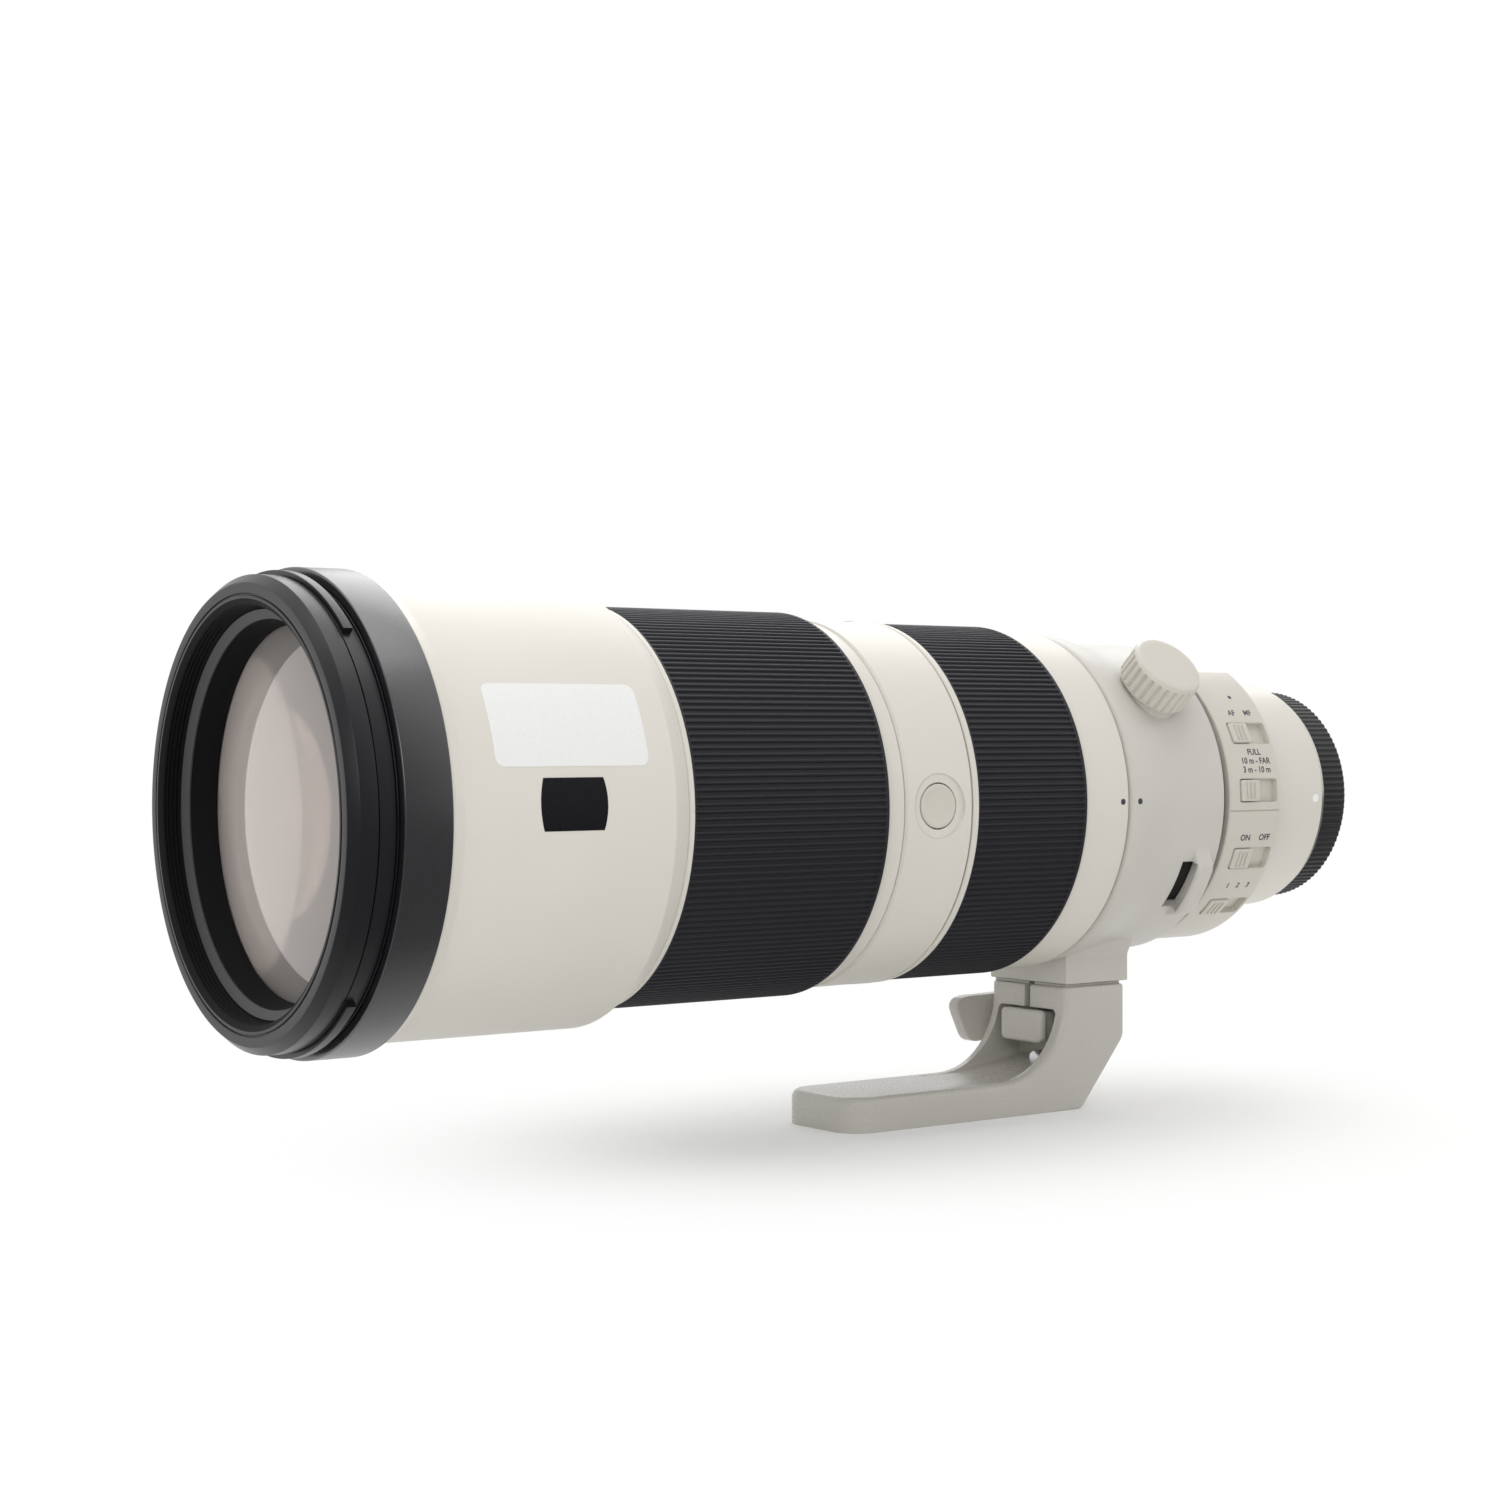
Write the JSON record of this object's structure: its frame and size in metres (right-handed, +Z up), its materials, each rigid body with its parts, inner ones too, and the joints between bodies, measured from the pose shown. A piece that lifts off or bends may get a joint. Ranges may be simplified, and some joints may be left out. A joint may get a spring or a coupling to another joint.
{
  "type": "camera zoom lens",
  "caption": "White internal-zoom telephoto camera lens with ribbed zoom and focus rings, focus-hold buttons, slide switches, a rotating tripod collar with removable foot, and a rear cap.",
  "frame": {"origin": "centre of the camera mount's flange face, on the optical axis", "axes": "+X along the optical axis towards the camera, +Y to the lens' right seen from the camera, +Z up, with the tripod foot at -Z"},
  "size_m": [0.33, 0.1114, 0.1405],
  "materials": {
    "white_shell": "satin",
    "white_metal": "satin",
    "grey_metal": "satin",
    "grey_plastic": "satin",
    "black_shell": "satin",
    "black_metal": "matte",
    "rubber": "matte",
    "glass": "polished",
    "bare_metal": "satin",
    "steel": "satin",
    "blade": "matte",
    "board": "satin"
  },
  "bodies": {
    "lens_body": {"front_ring": "black_shell", "front_band": "black_shell", "front_barrel": "white_shell", "badge_plate": "black_shell", "retaining_ring": "bare_metal", "front_cell": "black_shell", "front_element": "glass", "second_element": "glass", "guide_tube": "black_metal", "button_ring": "white_metal", "focus_frame": "black_shell", "focus_rods": "steel", "focus_magnets": "steel", "iris_housing": "black_metal", "shift_frame": "black_metal", "rear_cell": "black_metal", "rear_glass": "glass", "rear_ring": "white_metal", "rear_barrel": "white_metal", "switch_panel": "white_shell", "circuit_board": "board", "mount_ring": "steel", "mount_screws": "steel", "contact_block": "black_shell"},
    "zoom_ring": {"zoom_sleeve": "white_shell", "zoom_rubber": "rubber", "cam_tube": "bare_metal"},
    "zoom_group_a": {"zoom_cell_a": "black_shell", "zoom_glass_a": "glass"},
    "zoom_group_b": {"zoom_cell_b": "black_shell", "zoom_glass_b": "glass"},
    "focus_ring": {"focus_sleeve": "white_shell", "focus_rubber": "rubber"},
    "focus_group": {"focus_cell": "black_shell", "focus_glass": "glass"},
    "iris_drive": {"iris_drive_ring": "bare_metal"},
    "iris_leaf_1": {"iris_blade_1": "blade"},
    "iris_leaf_2": {"iris_blade_2": "blade"},
    "iris_leaf_3": {"iris_blade_3": "blade"},
    "iris_leaf_4": {"iris_blade_4": "blade"},
    "iris_leaf_5": {"iris_blade_5": "blade"},
    "iris_leaf_6": {"iris_blade_6": "blade"},
    "iris_leaf_7": {"iris_blade_7": "blade"},
    "shift_sideways": {"shift_carriage": "bare_metal"},
    "shift_upright": {"shift_cell": "black_shell", "shift_glass": "glass"},
    "hold_side": {"hold_button_side": "white_shell"},
    "hold_top": {"hold_button_top": "white_shell"},
    "hold_bottom": {"hold_button_bottom": "white_shell"},
    "slider_focus": {"switch_focus": "white_shell"},
    "slider_limit": {"switch_limit": "white_shell"},
    "slider_steady": {"switch_steady": "white_shell"},
    "slider_mode": {"switch_mode": "white_shell"},
    "collar": {"tripod_collar": "grey_metal"},
    "knob": {"collar_knob": "grey_plastic"},
    "foot": {"tripod_foot": "grey_metal", "thread_inserts": "steel"},
    "lever": {"foot_lever": "grey_metal"},
    "release": {"foot_release": "grey_plastic"},
    "cap": {"rear_cap": "black_shell"}
  },
  "joints": [
    {"name": "zoom_turn", "type": "hinge", "parent": "lens_body", "child": "zoom_ring", "pos_m": [-0.199, 0, 0], "axis": [1, 0, 0], "range_deg": [0, 70]},
    {"name": "zoom_a_slide", "type": "slide", "parent": "lens_body", "child": "zoom_group_a", "axis": [1, 0, 0], "range_m": [0, 0.016]},
    {"name": "zoom_b_slide", "type": "slide", "parent": "lens_body", "child": "zoom_group_b", "axis": [1, 0, 0], "range_m": [-0.014, 0]},
    {"name": "focus_turn", "type": "hinge", "parent": "lens_body", "child": "focus_ring", "pos_m": [-0.125, 0, 0], "axis": [1, 0, 0], "continuous": true},
    {"name": "focus_slide", "type": "slide", "parent": "lens_body", "child": "focus_group", "axis": [1, 0, 0], "range_m": [0, 0.012]},
    {"name": "iris_turn", "type": "hinge", "parent": "lens_body", "child": "iris_drive", "pos_m": [-0.1185, 0, 0], "axis": [1, 0, 0], "range_deg": [0, 30]},
    {"name": "iris_leaf_1_turn", "type": "hinge", "parent": "lens_body", "child": "iris_leaf_1", "pos_m": [-0.122, 0, 0.033], "axis": [1, 0, 0], "range_deg": [0, 25]},
    {"name": "iris_leaf_2_turn", "type": "hinge", "parent": "lens_body", "child": "iris_leaf_2", "pos_m": [-0.122, -0.0258, 0.02058], "axis": [1, 0, 0], "range_deg": [0, 25]},
    {"name": "iris_leaf_3_turn", "type": "hinge", "parent": "lens_body", "child": "iris_leaf_3", "pos_m": [-0.122, -0.03217, -0.00734], "axis": [1, 0, 0], "range_deg": [0, 25]},
    {"name": "iris_leaf_4_turn", "type": "hinge", "parent": "lens_body", "child": "iris_leaf_4", "pos_m": [-0.122, -0.01432, -0.02973], "axis": [1, 0, 0], "range_deg": [0, 25]},
    {"name": "iris_leaf_5_turn", "type": "hinge", "parent": "lens_body", "child": "iris_leaf_5", "pos_m": [-0.122, 0.01432, -0.02973], "axis": [1, 0, 0], "range_deg": [0, 25]},
    {"name": "iris_leaf_6_turn", "type": "hinge", "parent": "lens_body", "child": "iris_leaf_6", "pos_m": [-0.122, 0.03217, -0.00734], "axis": [1, 0, 0], "range_deg": [0, 25]},
    {"name": "iris_leaf_7_turn", "type": "hinge", "parent": "lens_body", "child": "iris_leaf_7", "pos_m": [-0.122, 0.0258, 0.02058], "axis": [1, 0, 0], "range_deg": [0, 25]},
    {"name": "shift_sideways_slide", "type": "slide", "parent": "lens_body", "child": "shift_sideways", "axis": [0, 1, 0], "range_m": [-0.0006, 0.0006]},
    {"name": "shift_upright_slide", "type": "slide", "parent": "shift_sideways", "child": "shift_upright", "axis": [0, 0, 1], "range_m": [-0.0006, 0.0006]},
    {"name": "hold_side_press", "type": "slide", "parent": "lens_body", "child": "hold_side", "axis": [0, 1, 0], "range_m": [0, 0.0007], "stiffness_N_per_m": 1000, "springref_m": -0.0005},
    {"name": "hold_top_press", "type": "slide", "parent": "lens_body", "child": "hold_top", "axis": [0, 0, -1], "range_m": [0, 0.0007], "stiffness_N_per_m": 1000, "springref_m": -0.0005},
    {"name": "hold_bottom_press", "type": "slide", "parent": "lens_body", "child": "hold_bottom", "axis": [0, 0, 1], "range_m": [0, 0.0007], "stiffness_N_per_m": 1000, "springref_m": -0.0005},
    {"name": "switch_focus_slide", "type": "slide", "parent": "lens_body", "child": "slider_focus", "axis": [1, 0, 0], "range_m": [0, 0.0069]},
    {"name": "switch_limit_slide", "type": "slide", "parent": "lens_body", "child": "slider_limit", "axis": [1, 0, 0], "range_m": [0, 0.0069]},
    {"name": "switch_steady_slide", "type": "slide", "parent": "lens_body", "child": "slider_steady", "axis": [1, 0, 0], "range_m": [0, 0.0069]},
    {"name": "switch_mode_slide", "type": "slide", "parent": "lens_body", "child": "slider_mode", "axis": [1, 0, 0], "range_m": [0, 0.0069]},
    {"name": "collar_turn", "type": "hinge", "parent": "lens_body", "child": "collar", "pos_m": [-0.07, 0, 0], "axis": [1, 0, 0], "continuous": true},
    {"name": "knob_turn", "type": "hinge", "parent": "collar", "child": "knob", "pos_m": [-0.0698, -0.03716, 0.03346], "axis": [0, -0.7431, 0.6691], "range_deg": [0, 270]},
    {"name": "foot_slide", "type": "slide", "parent": "collar", "child": "foot", "axis": [-1, 0, 0], "range_m": [0, 0.026]},
    {"name": "lever_turn", "type": "hinge", "parent": "foot", "child": "lever", "pos_m": [-0.0717, 0.018, -0.0596], "axis": [0, -1, 0], "range_deg": [0, 90]},
    {"name": "release_press", "type": "slide", "parent": "foot", "child": "release", "axis": [1, 0, 0], "range_m": [0, 0.002], "stiffness_N_per_m": 800, "springref_m": -0.0005},
    {"name": "cap_pull", "type": "slide", "parent": "lens_body", "child": "cap", "axis": [1, 0, 0], "range_m": [0, 0.06]}
  ],
  "couplings": [
    {"joint": "zoom_a_slide", "follows": "zoom_turn", "m_per_rad": 0.013096},
    {"joint": "zoom_b_slide", "follows": "zoom_turn", "m_per_rad": -0.011459},
    {"joint": "iris_leaf_1_turn", "follows": "iris_turn", "ratio": 0.83333},
    {"joint": "iris_leaf_2_turn", "follows": "iris_turn", "ratio": 0.83333},
    {"joint": "iris_leaf_3_turn", "follows": "iris_turn", "ratio": 0.83333},
    {"joint": "iris_leaf_4_turn", "follows": "iris_turn", "ratio": 0.83333},
    {"joint": "iris_leaf_5_turn", "follows": "iris_turn", "ratio": 0.83333},
    {"joint": "iris_leaf_6_turn", "follows": "iris_turn", "ratio": 0.83333},
    {"joint": "iris_leaf_7_turn", "follows": "iris_turn", "ratio": 0.83333}
  ]
}
